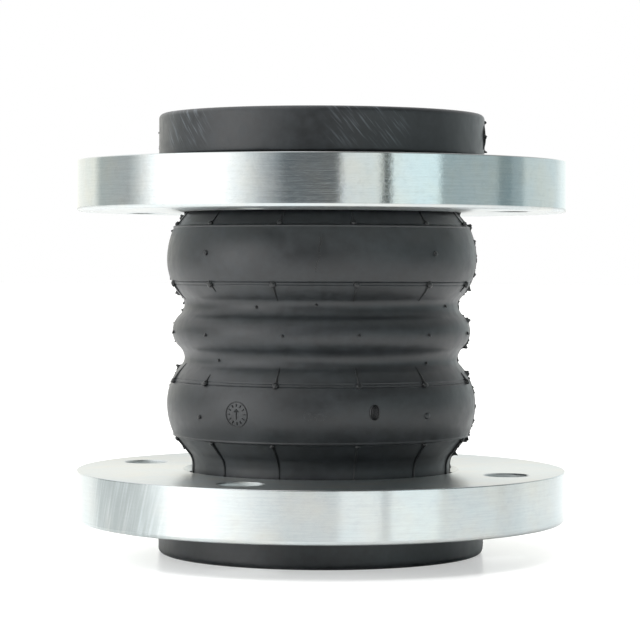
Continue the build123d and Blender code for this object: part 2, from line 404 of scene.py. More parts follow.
def build_layer(layer, columns, material):
    """The four sections of one layer of the rubber wall."""
    for end in ENDS:
        for part in ("end", "arch"):
            outline, outside = section_outline(layer, end, part)
            name = f"{layer}_{end}_{part}_moulding"
            made = turned_ring(name, outline, columns, outside if layer == "cover" else 0)
            shade(made, 38)
            made.data.materials.append(material)
            settle_section(made)
            shared_waist = [layer + "_waist"] if part == "arch" else []
            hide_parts(f"{layer}_{end}_{part}", *shared_waist)


# ---------------------------------------------------------------- relief on the cover

def on_cover(angle, z):
    """Points, outward normals and sideways directions on the cover. Angles in degrees."""
    turn = np.radians(np.asarray(angle, float))
    z = np.asarray(z, float)
    lift = unevenness(turn, z)

    def radius(at):
        inside = cover_radius(at - ARCH_MID)
        face = np.minimum(at, OVERALL - at)
        return np.where(face < COLLAR_T, COLLAR_R, inside)

    r = radius(z) + lift
    slope = (radius(z + 0.1) - radius(z - 0.1)) / 0.2
    slope = np.clip(slope, -1.5, 1.5)
    out = np.stack([np.sin(turn), -np.cos(turn), np.zeros_like(turn)], -1)
    along = np.stack([np.cos(turn), np.sin(turn), np.zeros_like(turn)], -1)
    normal = out - slope[:, None] * np.array([0, 0, 1.0])
    normal /= np.linalg.norm(normal, axis=1)[:, None]
    points = out * r[:, None] + np.stack([0 * z, 0 * z, z], -1)
    return points, normal, along


class Relief:
    """Collects small closed shapes that share one mesh."""

    def __init__(self):
        self.vertices = []
        self.faces = []

    def add(self, vertices, faces):
        """Adds one closed shape."""
        base = len(self.vertices)
        self.vertices += [list(v) for v in vertices]
        self.faces += [[base + i for i in f] for f in faces]

    def rib(self, angle, z, width, height, closed=False):
        """A raised rib along a path on the cover, with a width and height at each point."""
        points, normal, _ = on_cover(angle, z)
        count = len(points)
        ahead = np.roll(points, -1, 0) - np.roll(points, 1, 0)
        if not closed:
            ahead[0] = points[1] - points[0]
            ahead[-1] = points[-1] - points[-2]
        across = np.cross(normal, ahead)
        across /= np.linalg.norm(across, axis=1)[:, None]
        width = np.broadcast_to(width, count)[:, None]
        height = np.broadcast_to(height, count)[:, None]
        section = [(-0.5, None), (-0.42, 0.6), (0.0, 1.0), (0.42, 0.6), (0.5, None)]
        rings = []
        for side, up in section:
            rise = -SINK if up is None else height * up
            rings.append(points + across * side * width + normal * rise)
        vertices = np.stack(rings, 1).reshape(-1, 3)
        self.add(vertices, stack_faces(count, len(section), closed))

    def pip(self, angle, z, radius, height, lean=0.0):
        """A short round stub with a domed top."""
        points, normal, along = on_cover([angle], [z])
        up = np.cross(normal[0], along[0])
        levels = [(1.05, -SINK), (1.0, 0.45 * height), (0.8, 0.85 * height), (0.4, height)]
        steps = 10
        vertices = []
        for share, rise in levels:
            for k in range(steps):
                turn = 2 * math.pi * k / steps
                flat = along[0] * math.cos(turn) + up * math.sin(turn)
                drop = up * (-lean * max(rise, 0))
                vertices.append(points[0] + flat * radius * share + normal[0] * rise + drop)
        self.add(vertices, stack_faces(len(levels), steps))


def section_of(z):
    """The end and part of the rubber that a height belongs to."""
    end = "lower" if z < ARCH_MID else "upper"
    return end, "arch" if abs(z - ARCH_MID) < SQUEEZE_TO else "end"


def wander(seed, where):
    """A smooth repeatable wander between -1 and 1 along a run of places."""
    value = np.zeros_like(np.asarray(where, float))
    for k, (rate, share) in enumerate(((0.9, 0.5), (2.1, 0.3), (4.7, 0.2))):
        value += share * np.sin(where * rate + seed * (1.7 + k) + k * 2.1)
    return value


def rib_angle(k, end, part):
    """Angle of a mould vent. The vents of each mould ring were filed by hand, so they wander."""
    ring = 2 * ENDS.index(end) + (part == "arch")
    return RIB_FIRST + RIB_PITCH * k + 1.3 * math.sin(k * 2.3 + ring * 1.9)


def add_ribs(reliefs, rib_height):
    """Mould vents: short ribs either side of the rings, each with a nub on the ring."""
    for k in range(int(360 / RIB_PITCH)):
        for end, side in SIDE.items():
            angle = rib_angle(k, end, "arch")
            line = ARCH_MID + side * LINE_AT
            reach = 6.8 if math.sin(k * 1.9 + 2) > -0.55 else 3.4
            run = np.linspace(0, 1, 12)
            lean = (1.6 if side > 0 else 0.5) * math.sin(math.radians(-angle)) * run
            relief = reliefs[end, "arch"]
            relief.rib(angle + lean, line - side * reach * run, width=1.2 - 0.65 * run,
                       height=rib_height * (1.35 - run))
            relief.pip(angle, line, radius=1.25, height=rib_height * 2.2, lean=0.5)
            angle = rib_angle(k, end, "end")
            edge = ARCH_MID + side * (STEP_AT + 0.2)
            height = rib_height * (1.0 if end == "lower" else 0.3)
            z = edge + side * np.linspace(-0.4, 15.0 if end == "lower" else 7.5, 22)
            bow = angle + 0.45 * np.sin(np.linspace(0, 2.4, 22))
            relief = reliefs[end, "end"]
            relief.rib(bow, z, width=0.8, height=height)
            relief.pip(angle, edge + side * 0.4, radius=1.0, height=rib_height * 1.6)


def add_pips(reliefs):
    """Trimmed vent stubs on the crests, on the waist and in the valleys."""
    rows = (
        (122.0, (-46, 45, 134, -136), 1.0),
        (58.0, (-49.5, 131, -139), 0.85),
        (90.0, (-48.6, -14.4, 14, 44.3, 76, 107, 137, 166, -164, -135, -107, -78), 0.65),
        (101.8, (-27, -2, 62, 92, 153, -88, -150), 0.55),
        (79.6, (-46, 48, 103, 171, -101), 0.5),
    )
    for z, angles, radius in rows:
        for k, angle in enumerate(angles):
            where = z + 0.5 * math.sin(angle * 3.1 + k)
            reliefs[section_of(where)].pip(angle, where, radius, height=0.75, lean=0.9)


def add_flash(reliefs):
    """Torn flash along the mould's two vertical parting seams, worst where the wall is steep."""
    for seam in (PARTING_AT, PARTING_AT - 180):
        for end, side in SIDE.items():
            for part, start, stop in (("arch", 0.0, SQUEEZE_TO), ("end", SQUEEZE_TO, FLASH_TO)):
                d = np.arange(start, stop + 0.01, 0.4)
                torn = wander(seam + side * 2, d * 1.1)
                steep = np.clip(np.abs(np.gradient(cover_radius(d), d)) * 1.4, 0.2, 1)
                height = 0.15 + 2.1 * steep * np.clip(torn - 0.05, 0, 1) ** 0.7
                z = ARCH_MID + side * d
                angle = seam + 0.5 * wander(seam, d * 0.5)
                reliefs[end, part].rib(angle, z, width=0.7, height=height)
            z = true_z(end, np.linspace(2.5, COLLAR_T - 2.0, 30))
            torn = wander(seam + side * 5, np.linspace(0, 13, 30))
            height = 0.12 + 1.3 * np.clip(torn - 0.1, 0, 1) ** 0.7
            angle = seam + 1.2 * wander(seam, z * 0.6)
            reliefs[end, "end"].rib(angle, z, width=0.55, height=height)


def on_crest(angle, z, across, up):
    """Angle and Z of points given in millimetres from a place on the cover."""
    per_degree = math.radians(1) * float(cover_radius(z - ARCH_MID))
    return angle + np.asarray(across) / per_degree, z + np.asarray(up)


def oval_rib(relief, place, radii, steps, width, height):
    """A closed rib round a place, with a radius across and one up."""
    turn = np.arange(steps) * 2 * math.pi / steps
    across, up = radii[0] * np.cos(turn), radii[1] * np.sin(turn)
    relief.rib(*on_crest(*place, across, up), width, height, closed=True)


def add_date_dial(reliefs):
    """A plain mould date dial: a ring with twelve ticks inside it and a pointer."""
    relief = reliefs["lower", "end"]
    oval_rib(relief, DIAL_AT, (DIAL_R, DIAL_R), 48, width=0.55, height=0.3)
    strokes = [((0, -2.0), (0, 2.0)), ((-0.9, 0.9), (0, 2.0)), ((0.9, 0.9), (0, 2.0))]
    for turn in np.radians(np.arange(0, 360, 30)):
        way = np.array([math.cos(turn), math.sin(turn)])
        strokes.append(((DIAL_R - 1.9) * way, (DIAL_R - 0.8) * way))
    for start, stop in strokes:
        line = np.linspace(start, stop, 6)
        relief.rib(*on_crest(*DIAL_AT, line[:, 0], line[:, 1]), width=0.5, height=0.35)


def add_plug(reliefs):
    """An oval of rings where a tapped hole in the mould was filled, dark from the painted shade of
    the mark colour.
    """
    relief = reliefs["lower", "end"]
    for radii in ((1.8, 2.8), (1.15, 2.1), (0.5, 1.4)):
        oval_rib(relief, PLUG_AT, radii, 36, width=0.75, height=0.6)


def add_soft_marks(reliefs):
    """Marks that were nearly polished out of the mould."""
    relief = reliefs["lower", "end"]
    for angle, across in ((-4.4, 1.2), (-0.2, 1.6)):
        oval_rib(relief, (angle, 59.4), (across, 1.2), 24, width=1.5, height=0.14)
    relief.pip(41.4, 58.6, radius=1.35, height=0.55, lean=0.2)


def add_crease(reliefs):
    """A knit line where two flows of rubber met on the upper crest, with a fold beside it."""
    relief = reliefs["upper", "end"]
    z = np.linspace(115.0, 129.5, 24)
    knit = -0.9 + 0.16 * (z - 122) + 0.3 * np.sin(z * 0.9)
    relief.rib(knit, z, width=0.55, height=0.16)
    z = np.linspace(122.5, 128.5, 12)
    relief.rib(-0.6 + 0.25 * np.sin(z), z, width=0.6, height=0.22)


def add_tab(reliefs):
    """A strip of flash torn loose on the upper collar, just off its parting seam."""
    run = np.linspace(0, 1, 24)
    z = 164.5 + 9.5 * run
    angle = 79.0 + 1.6 * run + 0.9 * np.sin(run * 7.0)
    reliefs["upper", "end"].rib(angle, z, width=0.8, height=0.3 + 0.7 * np.sin(run * 3.1))


def section_reliefs():
    """An empty relief for each section of the cover."""
    return {(end, part): Relief() for end in ENDS for part in ("end", "arch")}


def build_marks(kind, reliefs, material):
    """Marks of one kind, in one mesh for each section of the cover that has any."""
    for (end, part), relief in reliefs.items():
        if relief.faces:
            made = make_mesh(f"{kind}_{end}_{part}", relief.vertices, relief.faces)
            shade(made, 50)
            made.data.materials.append(material)
            settle_section(made)


# ---------------------------------------------------------------- flanges

def flange_outline(end, under_r, over_r):
    """A flange's section, in radius and Z, with its recess towards its own collar."""
    thick = FLANGE_HIGH[end] - FLANGE_LOW[end]
    near, far = (under_r, over_r) if end == "lower" else (over_r, under_r)
    outer = [(FLANGE_R - near - HOLD, 0)] + quarter((FLANGE_R - near, near), near, -90, 0)
    outer += [(FLANGE_R, h) for h in np.linspace(near + HOLD, thick - far - HOLD, 9)]
    outer += quarter((FLANGE_R - far, thick - far), far, 0, 90)
    outer.append((FLANGE_R - far - HOLD, thick))
    inner = [
        (FLANGE_BORE_R + BORE_CHAMFER, thick),
        (FLANGE_BORE_R, thick - BORE_CHAMFER),
        (FLANGE_BORE_R, RECESS_DEPTH + RECESS_ROOT),
        (FLANGE_BORE_R + RECESS_ROOT, RECESS_DEPTH),
        (RECESS_R, RECESS_DEPTH),
        (RECESS_R, 0.4),
        (RECESS_R + 0.4, 0),
    ]
    if end == "lower":
        return [(r, FLANGE_LOW[end] + h) for r, h in outer + inner]
    return [(r, FLANGE_HIGH[end] - h) for r, h in outer + inner]


def hole_cutter(end):
    """One mesh that cuts all the bolt holes, each with a small countersink."""
    low, high = FLANGE_LOW[end], FLANGE_HIGH[end]
    levels = ((low - 1, 1.5), (low + 0.5, 0.0), (high - 0.5, 0.0), (high + 1, 1.5))
    steps = 48
    drills = Relief()
    for hole in range(BOLT_COUNT):
        place = FIRST_HOLE + 2 * math.pi * hole / BOLT_COUNT
        vertices = []
        for z, grow in levels:
            for turn in np.arange(steps) * 2 * math.pi / steps:
                x = BOLT_CIRCLE_R * math.cos(place) + (BOLT_HOLE_R + grow) * math.cos(turn)
                y = BOLT_CIRCLE_R * math.sin(place) + (BOLT_HOLE_R + grow) * math.sin(turn)
                vertices.append((x, y, z))
        drills.add(vertices, stack_faces(len(levels), steps))
    return make_mesh(end + "_hole_cutter", drills.vertices, drills.faces)


def build_flange(end, under_r, over_r, rim, face, hole):
    """A turned and drilled flange with a finish for its rim, its faces and its holes."""
    blank = turned_ring(end + "_flange_turned", flange_outline(end, under_r, over_r), 384)
    cutter = hole_cutter(end)
    cut = blank.modifiers.new("bolt_holes", "BOOLEAN")
    cut.operation = "DIFFERENCE"
    cut.solver = "EXACT"
    cut.object = cutter
    view = bpy.context.evaluated_depsgraph_get()
    mesh = bpy.data.meshes.new_from_object(blank.evaluated_get(view))
    blank.modifiers.clear()
    blank.data = mesh
    bpy.data.objects.remove(cutter)
    place = np.zeros(len(mesh.vertices) * 3, np.float32)
    mesh.vertices.foreach_get("co", place)
    rest = mesh.attributes.get("rest_place")
    rest.data.foreach_set("vector", place)
    mesh.materials.clear()
    for material in (rim, face, hole):
        mesh.materials.append(material)
    rim_index, face_index, hole_index = range(3)
    for polygon in mesh.polygons:
        radius = polygon.center.to_2d().length / MM
        if abs(polygon.normal.z) > 0.7 or radius < RECESS_R + 0.5:
            polygon.material_index = face_index
        elif radius > FLANGE_R - 2 * under_r:
            polygon.material_index = rim_index
        else:
            polygon.material_index = hole_index
    shade(blank, 28)
    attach(blank, end + "_flange")
    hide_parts(end + "_flange")


# ---------------------------------------------------------------- materials

def add(tree, kind, settings=None, inputs=None, stops=()):
    """Adds a node with its settings, its inputs and, on a ramp, its stops of (place, colour).

    An input is a value, another node's output, or a node that stands for its first output.
    """
    node = tree.nodes.new("ShaderNode" + kind)
    for key, value in (settings or {}).items():
        setattr(node, key, value)
    for key, value in (inputs or {}).items():
        if isinstance(value, bpy.types.Node):
            value = value.outputs[0]
        if isinstance(value, bpy.types.NodeSocket):
            tree.links.new(value, node.inputs[key])
        else:
            node.inputs[key].default_value = value
    for i, (place, colour) in enumerate(stops):
        points = node.color_ramp.elements
        point = points[i] if i < 2 else points.new(place)
        point.position, point.color = place, colour
    return node


def new_material(name):
    """An empty material and its node tree."""
    material = bpy.data.materials.new(name)
    material.use_nodes = True
    material.node_tree.nodes.clear()
    return material, material.node_tree


def rest_in_mm(tree, kept=True):
    """The place on the piece in millimetres, from its rest shape where that is kept."""
    if kept:
        source = add(tree, "Attribute", {"attribute_name": "rest_place"}).outputs["Vector"]
    else:
        source = add(tree, "TexCoord").outputs["Object"]
    return add(tree, "VectorMath", {"operation": "SCALE"}, {0: source, "Scale": 1 / MM})


def round_axis(tree, place):
    """Arc angle in radians, radius and height of a place in millimetres."""
    x, y, height = add(tree, "SeparateXYZ", None, {0: place}).outputs
    flat = add(tree, "CombineXYZ", None, {0: x, 1: y})
    radius = add(tree, "VectorMath", {"operation": "LENGTH"}, {0: flat}).outputs["Value"]
    return add(tree, "Math", {"operation": "ARCTAN2"}, {0: y, 1: x}), radius, height


def grey(level):
    """A neutral colour."""
    return (level, level, level, 1.0)


def shared(tree, limits):
    """The product of smooth steps, each of a value between a low and a high limit."""
    share = 1.0
    for value, low, high in limits:
        step = add(tree, "MapRange", {"interpolation_type": "SMOOTHSTEP"},
                   {"Value": value, "From Min": low, "From Max": high})
        share = add(tree, "Math", {"operation": "MULTIPLY"}, {0: share, 1: step})
    return share


def scuffs(tree, place):
    """How strongly tool marks lighten the upper collar: slanted strokes in five worn patches."""
    angle, _, height = round_axis(tree, place)
    rise = add(tree, "Math", {"operation": "MULTIPLY"}, {0: height, 1: 0.85})
    slant = add(tree, "Math", {"operation": "MULTIPLY_ADD"}, {0: angle, 1: COLLAR_R, 2: rise})
    drift = add(tree, "Math", {"operation": "MULTIPLY"}, {0: height, 1: 0.06})
    along = add(tree, "Math", {"operation": "MULTIPLY_ADD"},
                {0: angle, 1: -0.06 * COLLAR_R, 2: drift})
    spread = add(tree, "CombineXYZ", None, {0: slant, 1: along})
    strokes = add(tree, "TexNoise", None,
                  {"Vector": spread, "Scale": 0.8, "Detail": 2.0, "Roughness": 0.6})
    turn = add(tree, "Math", {"operation": "MULTIPLY_ADD"},
               {0: angle, 1: 5.0, 2: math.radians(100)})
    patch = add(tree, "Math", {"operation": "SINE"}, {0: turn})
    collar_back = OVERALL - COLLAR_T
    return shared(tree, (
        (strokes, 0.5, 0.7), (patch, 0.0, 1.0), (height, collar_back, collar_back + 6)))


def moulded_rubber(name, dark, light, rough, marks, kept=True, scuffed=False):
    """Sulphur-cured black rubber as it comes from a steel mould: satin, with a faint bloom."""
    material, tree = new_material(name)
    place = rest_in_mm(tree, kept)
    # Sulphur bloom lies in clouds about 20 mm across, broken up by 4 mm smears from handling.
    # The mould's hand polish leaves waves about 11 mm apart under a grain finer than 1 mm
    bloom, smears, waves, grain = (
        add(tree, "TexNoise", None,
            {"Vector": place, "Scale": scale, "Detail": detail, "Roughness": fading})
        for scale, detail, fading in (
            (0.045, 5.0, 0.6), (0.25, 3.0, 0.55), (0.09, 2.0, 0.5), (1.3, 3.0, 0.6)))
    both = add(tree, "Math", {"operation": "MULTIPLY"}, {0: bloom, 1: smears})
    colour = add(tree, "ValToRGB", None, {"Fac": both}, [(0.14, dark), (0.40, light)])
    dull = add(tree, "ValToRGB", None, {"Fac": smears},
               [(0.3, grey(rough - 0.05)), (0.7, grey(rough + 0.06))])
    if scuffed:
        colour = add(tree, "Mix", {"data_type": "RGBA"}, {
            "Factor": scuffs(tree, place), 6: colour, 7: linear("#50565b")}).outputs[2]
    low = add(tree, "Bump", None,
              {"Height": waves, "Strength": 0.35 * marks, "Distance": 0.6 * MM})
    fine = add(tree, "Bump", None,
               {"Height": grain, "Normal": low, "Strength": 0.25 * marks, "Distance": 0.05 * MM})
    shader = add(tree, "BsdfPrincipled", None, {
        "Base Color": colour, "Roughness": dull, "Normal": fine, "IOR": 1.6,
        "Sheen Weight": 0.08, "Sheen Roughness": 0.35})
    add(tree, "OutputMaterial", None, {"Surface": shader})
    return material


def rub_marks(tree, angle, height):
    """How strongly a rub from lifting tackle dulls one place on the lower rim, in strokes."""
    lean = add(tree, "Math", {"operation": "MULTIPLY"}, {0: height, 1: -0.3})
    slant = add(tree, "Math", {"operation": "MULTIPLY_ADD"}, {0: angle, 1: FLANGE_R, 2: lean})
    along = add(tree, "Math", {"operation": "MULTIPLY"}, {0: height, 1: 0.05})
    spread = add(tree, "CombineXYZ", None, {0: slant, 1: along})
    strokes = add(tree, "TexNoise", None, {"Vector": spread, "Scale": 0.7, "Detail": 2.0})
    turn = add(tree, "Math", {"operation": "ADD"}, {0: angle, 1: math.radians(140)})
    close = add(tree, "Math", {"operation": "COSINE"}, {0: turn})
    lower = add(tree, "Math", {"operation": "LESS_THAN"}, {0: height, 1: ARCH_MID})
    return shared(tree, ((strokes, 0.1, 0.62), (close, 0.955, 0.995), (lower, 0.0, 1.0)))


def turned_zinc(name, tints, rough, lines, faces):
    """Turned low-carbon steel with bright zinc plating: mirror-like with fine tool lines."""
    material, tree = new_material(name)
    place = rest_in_mm(tree)
    angle, radius, height = round_axis(tree, place)
    # The real feed lines are 0.1 to 0.2 mm apart, drawn here about 0.7 mm apart so they show
    along = add(tree, "Math", {"operation": "MULTIPLY"}, {0: angle, 1: 6.0})
    across = add(tree, "Math", {"operation": "MULTIPLY"}, {0: radius if faces else height, 1: 1.4})
    spread = add(tree, "CombineXYZ", None, {0: along, 1: across})
    tool = add(tree, "TexNoise", None,
               {"Vector": spread, "Scale": 1.0, "Detail": 4.0, "Roughness": 0.7})
    # The plating's thickness drifts over some 20 mm, and stains and small dents are under 3 mm
    cloud = add(tree, "TexNoise", None,
                {"Vector": place, "Scale": 0.05, "Detail": 4.0, "Roughness": 0.55})
    pits = add(tree, "TexNoise", None,
               {"Vector": place, "Scale": 0.35, "Detail": 4.0, "Roughness": 0.6})
    colour = add(tree, "ValToRGB", None, {"Fac": cloud},
                 zip((0.3, 0.5, 0.7), tints))
    # The tool lines and pits darken the colour a little: painted shade in the tool grooves and
    # small dents, the pits also standing for stains
    for texture, low, high, dark in ((tool, 0.3, 0.6, 0.92), (pits, 0.36, 0.5, 0.96)):
        shadow = add(tree, "ValToRGB", None, {"Fac": texture},
                     [(low, grey(dark)), (high, grey(1.0))])
        colour = add(tree, "Mix", {"data_type": "RGBA", "blend_type": "MULTIPLY"},
                     {"Factor": 1.0, 6: colour, 7: shadow}).outputs[2]
    if not faces:
        colour = add(tree, "Mix", {"data_type": "RGBA"}, {
            "Factor": rub_marks(tree, angle, height), 6: colour,
            7: linear("#a6adad")}).outputs[2]
    dull = add(tree, "Math", {"operation": "MULTIPLY_ADD"}, {0: tool, 1: 0.12, 2: rough - 0.06})
    dents = add(tree, "Bump", None, {"Height": pits, "Strength": lines, "Distance": 0.06 * MM})
    bump = add(tree, "Bump", None,
               {"Height": tool, "Normal": dents, "Strength": lines, "Distance": 0.04 * MM})
    tangent = add(tree, "Tangent", {"direction_type": "RADIAL", "axis": "Z"})
    # A quarter turn of the anisotropy, since reflections spread across the tool lines
    shader = add(tree, "BsdfPrincipled", None, {
        "Base Color": colour, "Roughness": dull, "Normal": bump, "Tangent": tangent,
        "Metallic": 1.0, "Anisotropic": 0.6, "Anisotropic Rotation": 0.25})
    add(tree, "OutputMaterial", None, {"Surface": shader})
    return material


def drilled_zinc(name, tints, rough):
    """Bolt hole walls: drill marks under dull zinc, coloured paler than the plating elsewhere as
    painted light that lifts the shade inside the holes.
    """
    material, tree = new_material(name)
    spiral = add(tree, "TexWave", {"wave_type": "BANDS", "bands_direction": "Z"},
                 {"Vector": rest_in_mm(tree), "Scale": 0.5, "Distortion": 2.0, "Detail": 2.0})
    colour = add(tree, "ValToRGB", None, {"Fac": spiral},
                 zip((0.0, 1.0), tints))
    bump = add(tree, "Bump", None, {"Height": spiral, "Strength": 0.4, "Distance": 0.05 * MM})
    shader = add(tree, "BsdfPrincipled", None, {
        "Base Color": colour, "Normal": bump, "Metallic": 0.8, "Roughness": rough})
    add(tree, "OutputMaterial", None, {"Surface": shader})
    return material


def cord_fabric(name, cord, gum):
    """Nylon tyre cord calendered in rubber: parallel cords 1.2 mm apart under a thin gum skin."""
    material, tree = new_material(name)
    angle, _, height = round_axis(tree, rest_in_mm(tree))
    slant = add(tree, "Math", {"operation": "MULTIPLY_ADD"}, {0: angle, 1: 50.0, 2: height})
    phase = add(tree, "Math", {"operation": "MULTIPLY"}, {0: slant, 1: 2 * math.pi / 1.2})
    wave = add(tree, "Math", {"operation": "SINE"}, {0: phase})
    lifted = add(tree, "Math", {"operation": "MULTIPLY_ADD"}, {0: wave, 1: 0.5, 2: 0.5})
    colour = add(tree, "ValToRGB", None, {"Fac": lifted},
                 [(0.25, gum), (0.7, cord)])
    bump = add(tree, "Bump", None, {"Height": lifted, "Strength": 0.6, "Distance": 0.2 * MM})
    shader = add(tree, "BsdfPrincipled", None,
                 {"Base Color": colour, "Normal": bump, "Roughness": 0.7})
    add(tree, "OutputMaterial", None, {"Surface": shader})
    return material


def drawn_wire(name, bright, dark):
    """Brass-coated bead wire wound side by side: fine bright strands round the ring."""
    material, tree = new_material(name)
    _, radius, height = round_axis(tree, rest_in_mm(tree, False))
    strands = add(tree, "CombineXYZ", None, {0: radius, 1: height})
    # Strands of 1 mm wire lie side by side, nearly in rows
    cells = add(tree, "TexVoronoi", {"voronoi_dimensions": "2D"},
                {"Vector": strands, "Scale": 1.0, "Randomness": 0.2})
    # Bright at each strand's middle and darker towards its edges: painted highlight and painted
    # shade on the round wires
    colour = add(tree, "ValToRGB", None, {"Fac": cells},
                 [(0.1, bright), (0.6, dark)])
    bump = add(tree, "Bump", {"invert": True},
               {"Height": cells, "Strength": 0.7, "Distance": 0.3 * MM})
    shader = add(tree, "BsdfPrincipled", None, {
        "Base Color": colour, "Normal": bump, "Metallic": 1.0, "Roughness": 0.35})
    add(tree, "OutputMaterial", None, {"Surface": shader})
    return material


# ---------------------------------------------------------------- settings

def colour_setting(name, description, code):
    """A colour that a user can change, from its sRGB hex value."""
    return bpy.props.FloatVectorProperty(
        name=name, description=description, default=linear(code), size=4, subtype="COLOR",
        min=0, max=1)


class RubberSettings(bpy.types.PropertyGroup):
    """Sizes and colours of the moulded rubber body."""

    columns: bpy.props.IntProperty(
        name="Columns", description="Facets round the cover", default=360, min=64, max=1024)
    rib_height: bpy.props.FloatProperty(
        name="Rib height", description="How far the mould's vent ribs stand out",
        default=0.55 * MM, unit="LENGTH")
    cover_dark: colour_setting("Cover", "Cover rubber where it is clean", "#16191b")
    cover_light: colour_setting("Bloom", "Cover rubber where it has bloomed", "#282c2f")
    # Darker than the cover: painted shade that makes the fine ribs, pips, flash and dial read as
    # dark lines
    mark_shade_colour: colour_setting("Marks", "Torn rubber of ribs and flash", "#0e0f10")


class FlangeSettings(bpy.types.PropertyGroup):
    """Sizes and colours of the loose flanges."""

    edge_under: bpy.props.FloatProperty(
        name="Lower edge", description="Radius that breaks the rim's lower edge",
        default=1.5 * MM, unit="LENGTH")
    edge_over: bpy.props.FloatProperty(
        name="Upper edge", description="Radius that breaks the rim's upper edge",
        default=0.4 * MM, unit="LENGTH")
    zinc: colour_setting("Zinc", "Bright zinc plating", "#cbd0d0")
    zinc_cool: colour_setting("Cool zinc", "Zinc where it looks blue", "#c6cfd1")
    zinc_warm: colour_setting("Warm zinc", "Zinc where it looks cream", "#d0d1cc")


class StudioSettings(bpy.types.PropertyGroup):
    """The camera and lights."""

    distance: bpy.props.FloatProperty(
        name="Distance", description="Camera to pipe axis", default=1.016, unit="LENGTH")
    height: bpy.props.FloatProperty(
        name="Height", description="Camera above the floor", default=0.1185, unit="LENGTH")
    pitch: bpy.props.FloatProperty(
        name="Pitch", description="Camera tilt below level", default=0.0232, subtype="ANGLE")
    roll: bpy.props.FloatProperty(
        name="Roll", description="Camera roll", default=0.0033, subtype="ANGLE")
    lens: bpy.props.FloatProperty(
        name="Lens", description="Focal length on a 36 mm sensor", default=139.3, min=10,
        unit="CAMERA")
    table: bpy.props.FloatProperty(
        name="Table", description="How far the exposure burns out the table", default=0.45, min=0)
    softbox: bpy.props.FloatProperty(
        name="Softbox", description="Power of the large light on the left", default=8.0,
        min=0, unit="POWER")
    overhead: bpy.props.FloatProperty(
        name="Overhead", description="Power of the light above", default=24.0, min=0,
        unit="POWER")


# ---------------------------------------------------------------- operators

class EXPANSIONJOINT_OT_cover(bpy.types.Operator):
    """Builds the moulded outer cover in its four sections"""

    bl_idname = "expansionjoint.cover"
    bl_label = "Cover"

    def execute(self, context):
        rubber = context.scene.joint_rubber
        material = moulded_rubber(
            "moulded_black_rubber", rubber.cover_dark, rubber.cover_light, 0.4, 1.0,
            scuffed=True)
        build_layer("cover", rubber.columns, material)
        return {"FINISHED"}


class EXPANSIONJOINT_OT_marks(bpy.types.Operator):
    """Builds vent ribs, pips, flash, the date dial and the plug mark"""

    bl_idname = "expansionjoint.marks"
    bl_label = "Mould marks"

    def execute(self, context):
        rubber = context.scene.joint_rubber
        # The marks take the darker mark colour: painted shade along the ribs, pips, flash, dial
        # and plug
        material = moulded_rubber(
            "mould_mark_rubber_painted_shade", rubber.mark_shade_colour, rubber.cover_dark, 0.4, 1.5)
        sharp = section_reliefs()
        add_ribs(sharp, rubber.rib_height / MM)
        for maker in (add_pips, add_flash, add_date_dial, add_plug, add_crease, add_tab):
            maker(sharp)
        build_marks("mould_marks", sharp, material)
        soft = section_reliefs()
        add_soft_marks(soft)
        build_marks("soft_marks", soft, bpy.data.materials["moulded_black_rubber"])
        return {"FINISHED"}


class EXPANSIONJOINT_OT_plies(bpy.types.Operator):
    """Builds the two cord plies inside the wall"""

    bl_idname = "expansionjoint.plies"
    bl_label = "Cord plies"

    def execute(self, context):
        material = cord_fabric("nylon_tyre_cord", linear("#b8a884"), linear("#2a2826"))
        for layer in ("outer_ply", "inner_ply"):
            build_layer(layer, 96, material)
        return {"FINISHED"}


class EXPANSIONJOINT_OT_liner(bpy.types.Operator):
    """Builds the bore liner and its grooved sealing faces"""

    bl_idname = "expansionjoint.liner"
    bl_label = "Liner"

    def execute(self, context):
        material = moulded_rubber(
            "calendered_liner_rubber", linear("#1c1d1e"), linear("#2c2e30"), 0.5, 0.7)
        build_layer("liner", 240, material)
        return {"FINISHED"}


class EXPANSIONJOINT_OT_flanges(bpy.types.Operator):
    """Turns, drills and plates the two loose flanges"""

    bl_idname = "expansionjoint.flanges"
    bl_label = "Flanges"

    def execute(self, context):
        flange = context.scene.joint_flange
        tints = (flange.zinc_warm, flange.zinc, flange.zinc_cool)
        rim = turned_zinc("zinc_plated_turned_rim", tints, 0.1, 0.35, False)
        face = turned_zinc("zinc_plated_turned_face", tints, 0.31, 0.25, True)
        # The hole walls are paler than the rim and faces: painted light that lifts the shade
        # inside the bolt holes
        walls = (linear("#d8dede"), linear("#eef2f2"))
        hole = drilled_zinc("zinc_drilled_hole_painted_light", walls, 0.6)
        for end in ENDS:
            build_flange(end, flange.edge_under / MM, flange.edge_over / MM, rim, face, hole)
        return {"FINISHED"}


class EXPANSIONJOINT_OT_inserts(bpy.types.Operator):
    """Finishes the wire rings and bead fillers that the frame already holds"""

    bl_idname = "expansionjoint.inserts"
    bl_label = "Wire rings and fillers"

    def execute(self, context):
        wire = drawn_wire("brass_coated_bead_wire", linear("#c9a866"), linear("#6e5a34"))
        filler = moulded_rubber(
            "hard_filler_rubber", linear("#1a1a1a"), linear("#262626"), 0.7, 1.0, False)
        finishes = {"waist_ring": wire}
        for end in ENDS:
            finishes[end + "_bead_wire"] = wire
            finishes[end + "_bead_filler"] = filler
        for name, finish in finishes.items():
            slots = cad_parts[name].data.materials
            slots.clear()
            slots.append(finish)
        return {"FINISHED"}


def area_light(name, location, target, size, power):
    """A soft rectangular white light that polished metal doesn't mirror."""
    data = bpy.data.lights.new(name, "AREA")
    data.shape = "RECTANGLE"
    data.size, data.size_y = size
    data.energy = power
    made = bpy.data.objects.new(name, data)
    made.location = location
    made.rotation_euler = (Vector(location) - Vector(target)).to_track_quat("Z", "Y").to_euler()
    made.visible_glossy = False
    bpy.context.scene.collection.objects.link(made)


